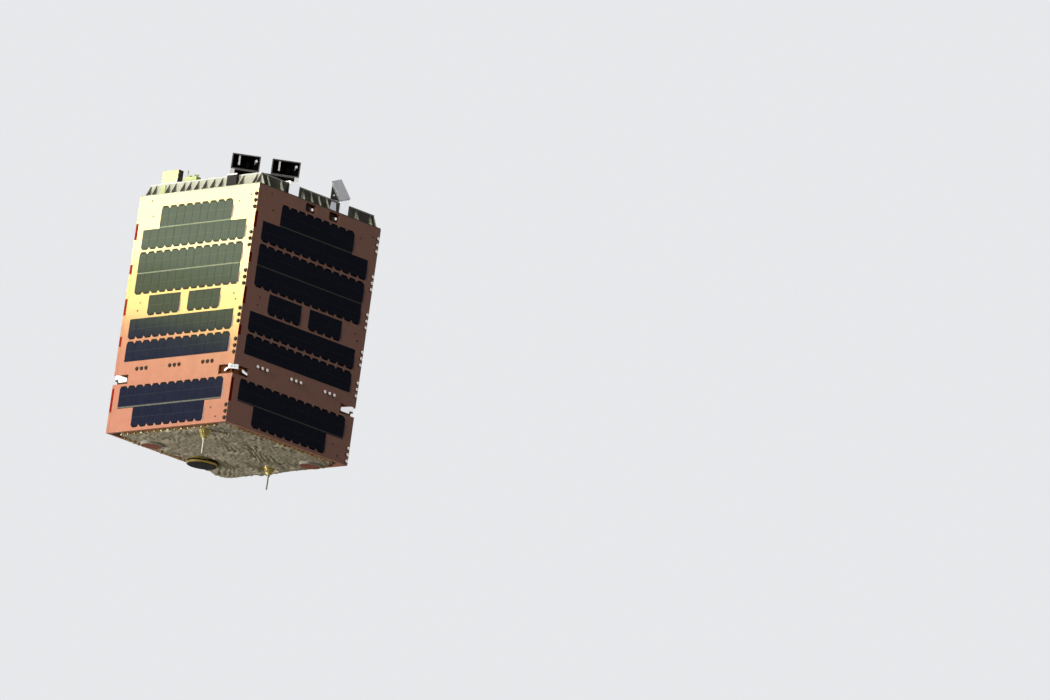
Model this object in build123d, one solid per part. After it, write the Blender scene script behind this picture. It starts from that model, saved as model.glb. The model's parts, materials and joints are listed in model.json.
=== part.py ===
from build123d import *
import os

# Small box-shaped satellite with body-mounted solar panels.
# Four solar panels stand round corner posts. A ribbed tray with the separation ring closes
# the top, and a deck with a foil blanket and the antennas closes the bottom.
# All sizes are millimetres. The origin is the centre of the separation plane, +Z points out
# of the ring, and the front panel faces -Y. Seen from outside, a panel's +X is its right.

os.makedirs("parts", exist_ok=True)

# Bus
bus_width = 620.0
panel_height = 885.0
panel_thick = 12.0
panel_gap = 0.5
seat_gap = 0.3
ring_height = 25.0
tray_height = 49.0

half = bus_width / 2
skin = half - panel_thick
deck_top = -ring_height
panel_top = deck_top - tray_height
panel_bottom = panel_top - panel_height

# Solar cells, in slots counted from the top left
cell_width = 40.0
cell_height = 76.0
cell_clip_large = 11.0
cell_clip_small = 5.0
cell_clip_deep = 10.0
cell_thick = 0.8
cell_pitch_x = 41.3
cell_pitch_z = 83.7
cell_columns = 13
first_row_drop = 44.5
# slot from the top, first column, last column, end of the cell that has clipped corners
cell_strings = [
    (0, 2, 10, "top"),
    (1, 0, 12, "bottom"),
    (2, 0, 12, "top"),
    (3, 0, 12, "bottom"),
    (4, 2, 5, "bottom"),
    (4, 7, 10, "bottom"),
    (5, 0, 12, "bottom"),
    (6, 0, 12, "top"),
    (8, 0, 12, "top"),
    (9, 2, 10, "bottom"),
]

# Red closing strips on each panel's exposed end: drop of the centre from the panel's top, length
strip_depth = 1.5
end_strips = [(131, 62), (273, 35), (415, 62), (544, 38), (764, 88)]

# Corner posts
post_width = 30.0
post_wall = 3.0

# Corner fittings and their openings in the panels
fitting_drop = 688.0
fitting_core_height = 33.0
fitting_arm_height = 26.0
fitting_arm_thick = 4.0
notch_width = 75.0
notch_height = 34.0
fitting_arm_reach = 72.0
wing_proud = 1.5
wing_chamfer = 2.5
# near end and far end from the corner, then lower and upper edge at each of these ends
whole_wing = (28.0, 72.0, -11.0, 16.0, -11.0, 3.0)
short_front_wing = (28.0, 43.0, -3.0, 7.0, -10.0, -2.0)
short_side_wing = (44.0, 72.0, -5.0, 7.0, -10.0, -3.0)
nose_width = 36.0
nose_height = 17.0
nose_setback = 6.4
nose_chamfer = 5.0
nose_rise = 8.0
lift_hole_radius = 2.25
lift_hole_depth = 18.0
lift_hole_pitch = 11.0
fitting_z = panel_top - fitting_drop

# Top tray
tray_setback = 23.0
tray_wall = 4.0
tray_plate = 5.0
tray_flange_reach = 25.0
tray_flange_setback = 1.0
tray_flange_thick = 4.0
rib_thick = 3.0
rib_toe = 1.0
# Ribs of one side: an even row about a middle that lies a little to the right, more beside it
# at these distances from that middle, and the corner ribs at these distances from the ends
rib_middle = 5.0
rib_pitch = 41.3
ribs_each_way = 2
side_ribs = [-160.0, -114.0, 114.0, 160.0]
left_corner_ribs = [rib_thick / 2, 31.0, 99.0]
right_corner_ribs = [rib_thick / 2, 21.0, 91.0]
# The star camera legs and the tilted antenna's bracket stand in place of these
ribs_left_out = {
    "front": [114.0, 160.0],
    "right": [-160.0, -114.0, 2 * rib_pitch, 114.0, 160.0],
}
tray_half = half - tray_setback
tray_flange_inner = tray_half - tray_flange_reach
tray_flange_outer = half - tray_flange_setback
flange_top = panel_top + tray_flange_thick

# Separation ring
ring_bolt_circle = 381.0
ring_bolt_count = 24
ring_hole_radius = 3.3
ring_outer = 201.0
ring_inner = 180.0
ring_flange_thick = 5.0
ring_web_thick = 5.0

# Bottom deck, its clips and the blanket
deck_thick = 8.0
deck_rise = 14.0
deck_clearance = 0.5
blanket_margin = 13.0
blanket_corner = 45.0
blanket_drop = 2.0
clip_pitch = 60.0
clips_per_side = 9
clip_width = 14.0
clip_height = 10.0
deck_under = panel_bottom + deck_rise
deck_over = deck_under + deck_thick
blanket_under = panel_bottom - blanket_drop
blanket_half = skin - blanket_margin

# Shelf and the heavy avionics stack on it
shelf_drop = 653.0
shelf_thick = 10.0
stack_width = 300.0
stack_height = 360.0

# Star cameras on a beam across the corner between the front and right panels. Its front edge
# starts and ends at these distances from that corner.
beam_start_run = 187.0
beam_end_run = 204.0
beam_width = 44.0
beam_thick = 4.0
beam_rise = 27.0
beam_end_gap = 8.0
beam_block = 14.0
beam_stiffeners = 2
leg_width = 50.0
leg_thick = 4.0
leg_setback = 10.0
hood_width = 103.0
hood_height = 58.0
hood_depth = 50.0
hood_wall = 2.5
hood_spacing = 145.0
camera_radius = 15.0
camera_length = 14.0
fin_offset = -24.0
fin_width = 6.5
fin_height = 37.5
fin_setback = 6.0
fin_depth = 10.0
stud_offset = 37.0
stud_drop = 14.5
stud_radius = 5.0
stud_setback = 8.0

# Flat box antenna on the front edge, its middle set in from the left end
box_antenna_run = 120.0
box_antenna_width = 83.0
box_antenna_depth = 24.0
box_antenna_height = 45.5
box_antenna_proud = 3.0
box_foot_thick = 2.0
box_foot_lap = 25.0
box_antenna_x = box_antenna_run - half

# Connector block beside it, with six-sided sockets (offset, radius, height) and capped
# probes (offset, height)
block_run = 220.0
block_width = 64.0
block_depth = 22.0
block_height = 16.0
block_inset = 4.0
sockets = [(-14.0, 8.0, 8.0), (14.0, 8.0, 9.0)]
probes = [(-28.0, 28.0), (28.0, 10.0)]
probe_stem = 3.0
probe_cap_radius = 3.0
probe_cap_height = 6.0
block_x = block_run - half

# Tilted antenna on the right edge
tilt_y = 121.0
tilt_width = 44.0
tilt_low = 46.0
tilt_high = 65.0
tilt_length = 80.0
tilt_thick = 6.0
tilt_leg_setback = 10.0
tilt_leg_thick = 4.0
tilt_foot_thick = 3.0
tilt_lug_run = 65.0
tilt_lug_width = 36.0
tilt_lug_height = 34.0
tilt_lug_taper = 6.5
tilt_lug_setback = 4.0
tilt_lug_thick = 3.0
tilt_back_thick = 3.0
tilt_back_short = 12.0
tilt_lean_in = 30.0
tilt_lean_up = 67.5
tilt_web_thick = 3.0

# Sun sensors behind openings in the right panel
sensor_places = [-47.0, 73.0]
sensor_opening_width = 50.0
sensor_opening_height = 32.0
sensor_opening_chamfer = 5.0
sensor_opening_drop = 20.0
sensor_body_thick = 14.0
sensor_margin = 5.0
nozzle_faces = 8
nozzle_base = 8.5
nozzle_mouth = 5.5
nozzle_length = 10.0
nozzle_right = 11.0
nozzle_down = 3.0

# Feet of the antennas that come through the blanket
foot_proud = 3.0

# Whip antennas under the deck, each set back from a panel's inner face
front_whip_setback = 52.0
back_whip_setback = 70.0
whips = [(141.0, front_whip_setback - skin), (-7.0, skin - back_whip_setback)]
whip_faces = 8
whip_foot_radius = 21.0
whip_cone_base = 18.0
whip_cone_tip = 6.5
whip_cone_height = 26.0
whip_nut_radius = 5.5
whip_nut_length = 10.0
whip_rod_radius = 2.8
whip_rod_length = 58.0

# Drum antenna and patch antennas under the deck, each set back from the nearest panel
drum_setback = 92.0
front_patch_setback = 64.0
back_patch_setback = 54.0
drum_place = (drum_setback - skin, 81.0)
drum_radius = 57.0
drum_height = 12.0
drum_foot_radius = 48.0
drum_neck_radius = 44.0
drum_neck_height = 6.0
drum_face_radius = 53.0
drum_face_thick = 2.0
patches = [(front_patch_setback - skin, -151.0), (185.0, skin - back_patch_setback)]
patch_radius = 40.0
patch_face_radius = 37.0
patch_face_thick = 1.0
patch_drop = 9.0


def block(x0, x1, y0, y1, z0, z1):
    """A box between two corners."""
    box = Box(abs(x1 - x0), abs(y1 - y0), abs(z1 - z0))
    return Pos((x0 + x1) / 2, (y0 + y1) / 2, (z0 + z1) / 2) * box


def post(x, y, z_low, z_high, radius):
    """An upright cylinder between two heights."""
    return Pos(x, y, (z_low + z_high) / 2) * Cylinder(radius, z_high - z_low)


def side(index, shape):
    """Turns a shape built at the front (-Y) to side 0 front, 1 right, 2 back or 3 left."""
    return Rot(0, 0, 90 * index) * shape


def save(name, *shapes):
    """Writes one node. Its solids stay separate."""
    solids = [s for shape in shapes for s in shape.solids()]
    export_step(solids[0] if len(solids) == 1 else Compound(children=solids), f"parts/{name}.step")


side_names = ["front", "right", "back", "left"]
corner_names = ["front_right", "back_right", "back_left", "front_left"]


# Solar panels. The right end of each panel is exposed at the corner, and its left end stops
# short of the next panel's inner face.
def strip_blocks():
    strips = []
    for drop, length in end_strips:
        z = panel_top - drop
        strips.append(block(half - strip_depth, half, -half, -skin, z - length / 2, z + length / 2))
    return strips


def solar_panel(has_sensor_openings):
    panel = block(-skin + panel_gap, half, -half, -skin, panel_bottom, panel_top)
    for strip in strip_blocks():
        panel -= strip
    low = fitting_z - notch_height / 2
    high = fitting_z + notch_height / 2
    panel -= block(half - notch_width, half, -half, -skin, low, high)
    panel -= block(-half, -half + notch_width, -half, -skin, low, high)
    if has_sensor_openings:
        for x in sensor_places:
            opening = Box(sensor_opening_width, 2 * panel_thick, sensor_opening_height)
            opening = chamfer(opening.edges().filter_by(Axis.Y), sensor_opening_chamfer)
            panel -= Pos(x, -half, panel_top - sensor_opening_drop) * opening
    return panel


# Solar cells, one solid for each string of cells welded side by side. A cell has a small and a
# large clipped corner at its top, so a string has a notch between each two cells there. Cells
# clipped at the bottom are the same cell turned half round.
def cell_string(count, clipped_end):
    w, h, deep = cell_width / 2, cell_height / 2, cell_clip_deep
    far = (count - 1) * cell_pitch_x + w
    clips = [(-w, h - deep)]
    for number in range(count):
        x = number * cell_pitch_x
        clips += [
            (x - w + cell_clip_small, h),
            (x + w - cell_clip_large, h),
            (x + cell_pitch_x / 2, h - deep),
        ]
    clips[-1] = (far, h - deep)
    outline = [(-w, -h)] + clips + [(far, -h)]
    if clipped_end == "bottom":
        outline = [(far - w - x, -z) for x, z in outline]
    return Pos(0, -half, 0) * extrude(Plane.XZ * make_face(Polyline(outline, close=True)), cell_thick)


def cell_array():
    strings = []
    for row, first, last, clipped_end in cell_strings:
        x = (first - (cell_columns - 1) / 2) * cell_pitch_x
        z = panel_top - first_row_drop - cell_height / 2 - row * cell_pitch_z
        strings.append(Pos(x, 0, z) * cell_string(last - first + 1, clipped_end))
    return strings


strings = cell_array()
for index, name in enumerate(side_names):
    save(f"panel_{name}", side(index, solar_panel(name == "right")))
    save(f"cells_{name}", *[side(index, string) for string in strings])
    save(f"end_strips_{name}", *[side(index, strip) for strip in strip_blocks()])


# Corner posts: square tubes below and above each corner fitting, built at the front right.
post_outer = skin - seat_gap
post_inner = post_outer - post_width


def corner_post(z_low, z_high):
    tube = block(post_inner, post_outer, -post_outer, -post_inner, z_low, z_high)
    near, far = post_inner + post_wall, post_outer - post_wall
    return tube - block(near, far, -far, -near, z_low, z_high)


# Corner fittings: a core between the posts, a nose across the corner with two holes for
# lifting bolts, and one arm with a tapered wing along each panel.
def fitting_arm(near, far, near_low, near_high, far_low, far_high):
    """The arm and its wing on the front side of the front right corner."""
    arm_half = fitting_arm_height / 2
    arm = block(half - fitting_arm_reach, post_outer, -post_outer - fitting_arm_thick, -post_outer,
                fitting_z - arm_half, fitting_z + arm_half)
    wing_back = post_outer + fitting_arm_thick / 2
    right, left = half - near, half - far
    outline = [(right, near_low), (right, near_high), (left, far_high), (left, far_low)]
    face = Plane.XZ.offset(wing_back) * Pos(0, fitting_z, 0) * make_face(Polyline(outline, close=True))
    wing = extrude(face, half + wing_proud - wing_back)
    return arm + chamfer(wing.edges().filter_by(Axis.Y), wing_chamfer)


def corner_fitting(front_wing, side_wing):
    core_half = fitting_core_height / 2
    core = block(post_inner, post_outer, -post_outer, -post_inner,
                 fitting_z - core_half, fitting_z + core_half)
    one_side = fitting_arm(*front_wing)
    other_side = mirror(fitting_arm(*side_wing), Plane(origin=(0, 0, 0), z_dir=(1, 1, 0)))

    nose_face = half * 2**0.5 - nose_setback
    nose_back = post_outer * 2**0.5 - nose_width / 2
    nose = block(nose_back, nose_face, -nose_width / 2, nose_width / 2, -nose_height / 2, nose_height / 2)
    nose = chamfer(nose.edges().filter_by(Axis.Z).group_by(Axis.X)[-1], nose_chamfer)
    to_corner = Rot(0, 0, -45) * Pos(0, 0, fitting_z + nose_rise)
    fitting = core + one_side + other_side + to_corner * nose
    for y in (-lift_hole_pitch / 2, lift_hole_pitch / 2):
        hole = Rot(0, 90, 0) * Cylinder(lift_hole_radius, 2 * lift_hole_depth)
        fitting -= to_corner * Pos(nose_face, y, 0) * hole
    return fitting


for index, name in enumerate(corner_names):
    low_post = corner_post(deck_over, fitting_z - fitting_core_height / 2)
    high_post = corner_post(fitting_z + fitting_core_height / 2, panel_top)
    save(f"corner_post_{name}", side(index, low_post), side(index, high_post))
    # The corner below the star cameras has shorter wings
    wings = (short_front_wing, short_side_wing) if name == "front_right" else (whole_wing, whole_wing)
    save(f"corner_fitting_{name}", side(index, corner_fitting(*wings)))


# Top tray: flange frame on the panels, upright wall, plate, and three-cornered ribs outside
# the wall.
def tray_rib():
    """One rib on the right side, centred on Y = 0."""
    outline = [
        (tray_half - rib_toe, flange_top - rib_toe),
        (tray_flange_outer, flange_top - rib_toe),
        (tray_flange_outer, flange_top + rib_toe),
        (tray_half, deck_top - rib_toe),
        (tray_half - rib_toe, deck_top - rib_toe),
    ]
    profile = Plane.XZ * make_face(Polyline(outline, close=True))
    return Pos(0, rib_thick / 2, 0) * extrude(profile, rib_thick)


def rib_places(name):
    """Distances of one side's ribs from the side's middle, to the right."""
    row = [number * rib_pitch for number in range(-ribs_each_way, ribs_each_way + 1)] + side_ribs
    places = [rib_middle + run for run in row if run not in ribs_left_out.get(name, [])]
    places += [distance - tray_half for distance in left_corner_ribs]
    return places + [tray_half - distance for distance in right_corner_ribs]


def top_tray():
    outer, inner = tray_flange_outer, tray_flange_inner
    tray = block(-outer, outer, -outer, outer, panel_top, flange_top)
    tray -= block(-inner, inner, -inner, inner, panel_top, flange_top)
    wall = block(-tray_half, tray_half, -tray_half, tray_half, panel_top, deck_top)
    room = tray_half - tray_wall
    wall -= block(-room, room, -room, room, panel_top, deck_top - tray_plate)
    tray += wall
    for index, name in enumerate(side_names):
        for place in rib_places(name):
            tray += side(index - 1, Pos(0, place, 0) * tray_rib())
    return tray


save("top_tray", top_tray())


# Separation ring: channel section turned about Z, with the bolt circle through its upper flange.
def separation_ring():
    ring = post(0, 0, deck_top, 0, ring_outer) - post(0, 0, deck_top, 0, ring_inner)
    low, high = deck_top + ring_flange_thick, -ring_flange_thick
    ring -= post(0, 0, low, high, ring_outer) - post(0, 0, low, high, ring_inner + ring_web_thick)
    hole = Cylinder(ring_hole_radius, 2 * ring_flange_thick)
    return ring - PolarLocations(ring_bolt_circle / 2, ring_bolt_count) * hole


save("separation_ring", separation_ring())

# Bottom deck and the clips that hold it to the panels.
deck_half = skin - deck_clearance
save("bottom_deck", block(-deck_half, deck_half, -deck_half, deck_half, deck_under, deck_over))

clips = []
for index in range(4):
    for number in range(clips_per_side):
        x = (number - (clips_per_side - 1) / 2) * clip_pitch
        clip = block(x - clip_width / 2, x + clip_width / 2, -deck_half, -blanket_half - deck_clearance,
                     deck_under - clip_height, deck_under)
        clips.append(side(index, clip))
save("deck_clips", *clips)


# Foil blanket, with a hole round the foot of each antenna.
def foil_blanket():
    outline = Pos(0, 0, blanket_under) * RectangleRounded(2 * blanket_half, 2 * blanket_half, blanket_corner)
    blanket = extrude(outline, deck_under - blanket_under - seat_gap)
    for x, y in whips:
        hole = Pos(x, y, blanket_under) * RegularPolygon(whip_foot_radius + seat_gap, whip_faces)
        blanket -= extrude(hole, deck_under - blanket_under)
    round_feet = [(place, patch_radius) for place in patches] + [(drum_place, drum_foot_radius)]
    for (x, y), radius in round_feet:
        blanket -= post(x, y, blanket_under, deck_under, radius + seat_gap)
    return blanket


save("foil_blanket", foil_blanket())

# Shelf notched round the posts, and the avionics stack on it.
shelf_top = panel_top - shelf_drop + shelf_thick / 2
shelf_low = shelf_top - shelf_thick
shelf = block(-deck_half, deck_half, -deck_half, deck_half, shelf_low, shelf_top)
room = post_inner - deck_clearance
for index in range(4):
    shelf -= side(index, block(room, half, -half, -room, shelf_low, shelf_top))
save("shelf", shelf)

stack_half = stack_width / 2
save("avionics_stack", block(-stack_half, stack_half, -stack_half, stack_half,
                             shelf_top, shelf_top + stack_height))

# Star cameras. The beam is a channel, open to the front, with a block in each end and
# stiffeners between them. Its front edge runs straight from the front leg to the right leg. On
# its own plane, X runs along the beam, Y inwards and Z up from the beam's top.
beam_top = deck_top + beam_rise
leg_face = half - leg_setback
leg_back = leg_face - leg_thick
beam_start_x = half - beam_start_run
beam_end_y = -(half - beam_end_run)
beam_start = Vector(beam_start_x, -leg_face, beam_top)
beam_end = Vector(leg_face, beam_end_y, beam_top)
beam_length = (beam_end - beam_start).length
beam_plane = Plane(origin=beam_start, x_dir=beam_end - beam_start, z_dir=(0, 0, 1))
beam_slope = (beam_end_y + leg_face) / (leg_face - beam_start_x)


def star_beam():
    start, end = beam_end_gap, beam_length - beam_end_gap
    beam = block(start, end, 0, beam_width, -beam_thick, 0)
    beam += block(start, end, 0, beam_width, -beam_rise, beam_thick - beam_rise)
    beam += block(start, end, beam_width - beam_thick, beam_width, -beam_rise, 0)
    beam += block(start, start + beam_block, 0, beam_width, -beam_rise, 0)
    beam += block(end - beam_block, end, 0, beam_width, -beam_rise, 0)
    for number in range(1, beam_stiffeners + 1):
        x = start + (end - start) * number / (beam_stiffeners + 1)
        beam += block(x - beam_thick / 2, x + beam_thick / 2, 0, beam_width, -beam_rise, 0)
    return beam_plane * beam


def leg_tab(corners):
    """Flat three-cornered tab from a leg's top to the beam's lower front edge."""
    face = make_face(Polyline(corners, close=True))
    return Pos(0, 0, deck_top) * extrude(face, leg_thick)


front_far = beam_start_x + leg_width
leg_top = deck_top + leg_thick
front_leg = block(beam_start_x, front_far, -leg_face, -leg_back, flange_top, leg_top)
front_leg += leg_tab([
    (beam_start_x, -leg_face),
    (front_far, -leg_face),
    (front_far, -leg_face + leg_width * beam_slope),
])
right_far = beam_end_y - leg_width
right_leg = block(leg_back, leg_face, right_far, beam_end_y, flange_top, leg_top)
right_leg += leg_tab([
    (leg_face, beam_end_y),
    (leg_face - leg_width / beam_slope, right_far),
    (leg_face, right_far),
])
save("star_beam", star_beam())
save("star_leg_front", front_leg)
save("star_leg_right", right_leg)


hood_back = hood_depth - hood_wall
hood_roof = hood_height - hood_wall


def star_hood(x):
    room = hood_width / 2 - hood_wall
    hood = block(x - hood_width / 2, x + hood_width / 2, 0, hood_depth, 0, hood_height)
    hood -= block(x - room, x + room, 0, hood_back, hood_wall, hood_roof)
    return beam_plane * hood


def star_camera(x):
    """Short barrel on the hood's back wall."""
    barrel = Rot(90, 0, 0) * Cylinder(camera_radius, camera_length)
    return beam_plane * Pos(x, hood_back - camera_length / 2, hood_height / 2) * barrel


def star_fittings(x):
    """White upright fin that hangs from the hood's roof, and round stud on its back wall."""
    left = x + fin_offset - fin_width / 2
    fin = block(left, left + fin_width, fin_setback, fin_setback + fin_depth,
                hood_roof - fin_height, hood_roof)
    stud = Rot(90, 0, 0) * Cylinder(stud_radius, hood_back - stud_setback)
    stud = Pos(x + stud_offset, (hood_back + stud_setback) / 2, hood_roof - stud_drop) * stud
    return beam_plane * fin, beam_plane * stud


hood_places = [beam_length / 2 - hood_spacing / 2, beam_length / 2 + hood_spacing / 2]
for name, x in zip("ab", hood_places):
    save(f"star_hood_{name}", star_hood(x))
save("star_cameras", *[star_camera(x) for x in hood_places])
save("star_fittings", *[piece for x in hood_places for piece in star_fittings(x)])

# Box antenna on the front edge, on a foot plate that runs in over the tray.
box_left = box_antenna_x - box_antenna_width / 2
box_right = box_antenna_x + box_antenna_width / 2
box_low = deck_top + box_foot_thick
box_front = -(tray_half + box_antenna_proud)
save("box_antenna", block(box_left, box_right, box_front, box_front + box_antenna_depth,
                          box_low, box_low + box_antenna_height))
save("box_antenna_foot", block(box_left, box_right, box_front, -tray_half + box_foot_lap,
                               deck_top, box_low))


# Connector block with its sockets and probes.
def connector_block():
    front = -tray_half + block_inset
    middle = front + block_depth / 2
    top = deck_top + block_height
    body = block(block_x - block_width / 2, block_x + block_width / 2, front, front + block_depth,
                 deck_top, top)
    for offset, radius, height in sockets:
        body += extrude(Pos(block_x + offset, middle, top) * RegularPolygon(radius, 6), height)
    for offset, height in probes:
        x, w = block_x + offset, probe_stem / 2
        cap_low = top + height - probe_cap_height
        body += block(x - w, x + w, middle - w, middle + w, top, cap_low)
        body += post(x, middle, cap_low, top + height, probe_cap_radius)
    return body


save("connector_block", connector_block())


# Tilted antenna: a leg on the flange, and a back plate folded over so that it leans in and
# back, with a web under its left edge. The leg's foot carries a tapered lug beside it.
def tilted_antenna():
    tilt_leg_x = half - tilt_leg_setback
    y0, y1 = tilt_y - tilt_width / 2, tilt_y + tilt_width / 2
    z_low, z_high = panel_top + tilt_low, panel_top + tilt_high
    outline = [(y0, flange_top), (y1, flange_top), (y1, z_high), (y0, z_low)]
    leg = Pos(tilt_leg_x, 0, 0) * extrude(Plane.YZ * make_face(Polyline(outline, close=True)), tilt_leg_thick)
    lug_near = tilt_y - tilt_lug_run
    lug_far = lug_near + tilt_lug_width
    leg += block(tray_half, tilt_leg_x, lug_near, y1, flange_top, flange_top + tilt_foot_thick)
    lug_high = flange_top + tilt_lug_height
    outline = [(lug_near, flange_top), (lug_far, flange_top),
               (lug_far - tilt_lug_taper, lug_high), (lug_near + tilt_lug_taper, lug_high)]
    lug = extrude(Plane.YZ * make_face(Polyline(outline, close=True)), tilt_lug_thick)
    leg += Pos(tilt_leg_x - tilt_lug_setback - tilt_lug_thick, 0, 0) * lug

    fold = Vector(0, y1 - y0, z_high - z_low)
    lean = Vector(-tilt_lean_in, -tilt_lean_in, tilt_lean_up)
    face = Plane(origin=(tilt_leg_x, y0, z_low), x_dir=fold, z_dir=fold.cross(lean))
    back_length = tilt_length - tilt_back_short
    leg += face * block(0, fold.length, -tilt_back_thick, back_length, 0, tilt_back_thick)
    cover = face * block(0, fold.length, 0, tilt_length, tilt_back_thick, tilt_back_thick + tilt_thick)

    web_plane = Plane(origin=(tilt_leg_x, y0, 0), x_dir=(-1, -1, 0), z_dir=(-1, 1, 0))
    reach = tilt_lean_in * 2**0.5 * back_length / lean.length
    rise = z_low + tilt_lean_up * back_length / lean.length
    wall = (tilt_leg_x - tray_half) * 2**0.5 - tilt_web_thick - seat_gap
    bite = tilt_back_thick
    web = [(0, z_low + bite), (0, z_low), (wall, deck_top), (reach, deck_top), (reach, rise + bite)]
    leg += extrude(web_plane * make_face(Polyline(web, close=True)), tilt_web_thick)
    return leg, cover


tilt_bracket, tilt_cover = tilted_antenna()
save("tilt_bracket", tilt_bracket)
save("tilt_antenna", tilt_cover)


# Sun sensors: a body behind each opening of the right panel, with its nozzle in the opening.
def sun_sensor(x):
    z = panel_top - sensor_opening_drop
    w = sensor_opening_width / 2 + sensor_margin
    h = sensor_opening_drop
    body = block(x - w, x + w, -skin, -skin + sensor_body_thick, z - h, z + h)
    root = Plane.XZ * RegularPolygon(nozzle_base, nozzle_faces)
    mouth = Plane.XZ.offset(nozzle_length) * RegularPolygon(nozzle_mouth, nozzle_faces)
    nozzle = Pos(x + nozzle_right, -skin, z - nozzle_down) * loft([root, mouth], ruled=True)
    return side(1, body + nozzle)


save("sun_sensors", *[sun_sensor(x) for x in sensor_places])

foot_low = blanket_under - foot_proud


# Whip antennas: an eight-sided foot and cone, and a rod with a six-sided nut.
def whip_base(x, y):
    foot_face = Pos(x, y, foot_low) * RegularPolygon(whip_foot_radius, whip_faces)
    wide = Pos(x, y, foot_low) * RegularPolygon(whip_cone_base, whip_faces)
    narrow = Pos(x, y, foot_low - whip_cone_height) * RegularPolygon(whip_cone_tip, whip_faces)
    return extrude(foot_face, deck_under - foot_low) + loft([wide, narrow], ruled=True)


def whip_rod(x, y):
    top = foot_low - whip_cone_height
    rod = post(x, y, top - whip_rod_length, top, whip_rod_radius)
    nut = Pos(x, y, top - whip_nut_length) * RegularPolygon(whip_nut_radius, 6)
    return rod + extrude(nut, whip_nut_length)


# Drum antenna: a foot with a neck, the drum and its face.
x, y = drum_place
neck_low = foot_low - drum_neck_height
rim_low = neck_low - drum_height
drum_base = post(x, y, foot_low, deck_under, drum_foot_radius)
drum_base += post(x, y, neck_low, foot_low, drum_neck_radius)
save("antenna_bases", *[whip_base(*place) for place in whips], drum_base)
save("whip_rods", *[whip_rod(*place) for place in whips])
save("drum_body", post(x, y, rim_low, neck_low, drum_radius))
save("drum_face", post(x, y, rim_low - drum_face_thick, rim_low, drum_face_radius))

# Patch antennas: a puck through the blanket and its face.
patch_low = blanket_under - patch_drop
pucks = [post(x, y, patch_low, deck_under, patch_radius) for x, y in patches]
faces = [post(x, y, patch_low - patch_face_thick, patch_low, patch_face_radius) for x, y in patches]
save("patch_pucks", *pucks)
save("patch_faces", *faces)
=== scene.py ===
import bmesh
import bpy
import json
import math
import random
from mathutils import Matrix, Vector, noise

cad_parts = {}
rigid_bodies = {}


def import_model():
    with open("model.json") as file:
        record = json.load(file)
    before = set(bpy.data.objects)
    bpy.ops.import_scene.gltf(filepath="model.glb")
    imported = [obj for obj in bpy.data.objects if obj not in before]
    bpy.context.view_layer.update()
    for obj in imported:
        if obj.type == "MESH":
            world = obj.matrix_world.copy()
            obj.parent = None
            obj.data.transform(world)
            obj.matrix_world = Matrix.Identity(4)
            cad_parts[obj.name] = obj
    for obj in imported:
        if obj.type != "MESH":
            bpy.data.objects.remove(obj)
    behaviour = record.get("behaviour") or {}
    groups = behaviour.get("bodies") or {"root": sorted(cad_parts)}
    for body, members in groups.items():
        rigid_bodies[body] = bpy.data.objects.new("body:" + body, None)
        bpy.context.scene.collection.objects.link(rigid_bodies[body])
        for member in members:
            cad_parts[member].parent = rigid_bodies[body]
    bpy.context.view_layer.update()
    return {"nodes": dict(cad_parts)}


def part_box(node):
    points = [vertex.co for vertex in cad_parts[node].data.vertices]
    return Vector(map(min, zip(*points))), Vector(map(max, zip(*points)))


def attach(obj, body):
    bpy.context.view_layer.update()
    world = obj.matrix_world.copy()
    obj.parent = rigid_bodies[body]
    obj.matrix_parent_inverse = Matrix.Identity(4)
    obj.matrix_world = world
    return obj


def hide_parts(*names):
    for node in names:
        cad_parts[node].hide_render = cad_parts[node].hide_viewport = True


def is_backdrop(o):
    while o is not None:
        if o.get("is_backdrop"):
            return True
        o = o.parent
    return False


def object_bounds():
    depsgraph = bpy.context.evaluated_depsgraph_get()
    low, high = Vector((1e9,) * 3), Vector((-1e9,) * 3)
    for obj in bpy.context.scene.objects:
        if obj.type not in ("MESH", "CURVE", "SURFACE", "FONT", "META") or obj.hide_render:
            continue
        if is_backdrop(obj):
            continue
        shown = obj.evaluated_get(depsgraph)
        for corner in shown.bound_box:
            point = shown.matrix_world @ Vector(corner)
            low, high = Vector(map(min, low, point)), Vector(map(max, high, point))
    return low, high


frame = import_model()
scene = bpy.context.scene
scene.view_settings.view_transform = "Standard"
cad = frame["nodes"]


# Camera: a long lens from the front right, a little below the satellite and rolled, so that the
# body's upright edges lean to the right. The satellite stands left of the middle of the picture.
picture_width = 1050
focal_pixels = 13870.0
azimuth, elevation, roll = (math.radians(a) for a in (47.4, -13.7, 8.25))
camera_distance = 50.0
aim = Vector((0, 0, -0.5165))
left_of_middle, above_middle = 281.4, 18.8

back = Vector((
    math.sin(azimuth) * math.cos(elevation),
    -math.cos(azimuth) * math.cos(elevation),
    math.sin(elevation),
))
level_right = Vector((math.cos(azimuth), math.sin(azimuth), 0))
right = level_right * math.cos(roll) + back.cross(level_right) * math.sin(roll)
lens = bpy.data.cameras.new("camera")
lens.sensor_width = 36.0
lens.lens = focal_pixels * lens.sensor_width / picture_width
lens.clip_start = 1.0
lens.clip_end = 400.0
camera = bpy.data.objects.new("camera", lens)
scene.collection.objects.link(camera)
facing = Matrix((right, back.cross(right), back)).transposed()
facing = facing @ Matrix.Rotation(-math.atan(left_of_middle / focal_pixels), 3, "Y")
facing = facing @ Matrix.Rotation(-math.atan(above_middle / focal_pixels), 3, "X")
camera.matrix_world = Matrix.Translation(aim + back * camera_distance) @ facing.to_4x4()
scene.camera = camera


# Solar panels: stiff sandwich boards with a copper-coloured satin skin. Each is held to the corner
# posts by cap screws in threes down its right edge, and to the shelf by three more such groups. A
# screw sits on a washer coloured near black as a painted shadow round it. The heads on front and
# back are near black as well, a painted dark reflection; the two sides have bare steel ones.
half = 0.310
panel_top = -0.074
panel_bottom = -0.959
sides = ["front", "right", "back", "left"]
turns = {name: Matrix.Rotation(math.radians(90 * i), 4, "Z") for i, name in enumerate(sides)}


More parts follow.
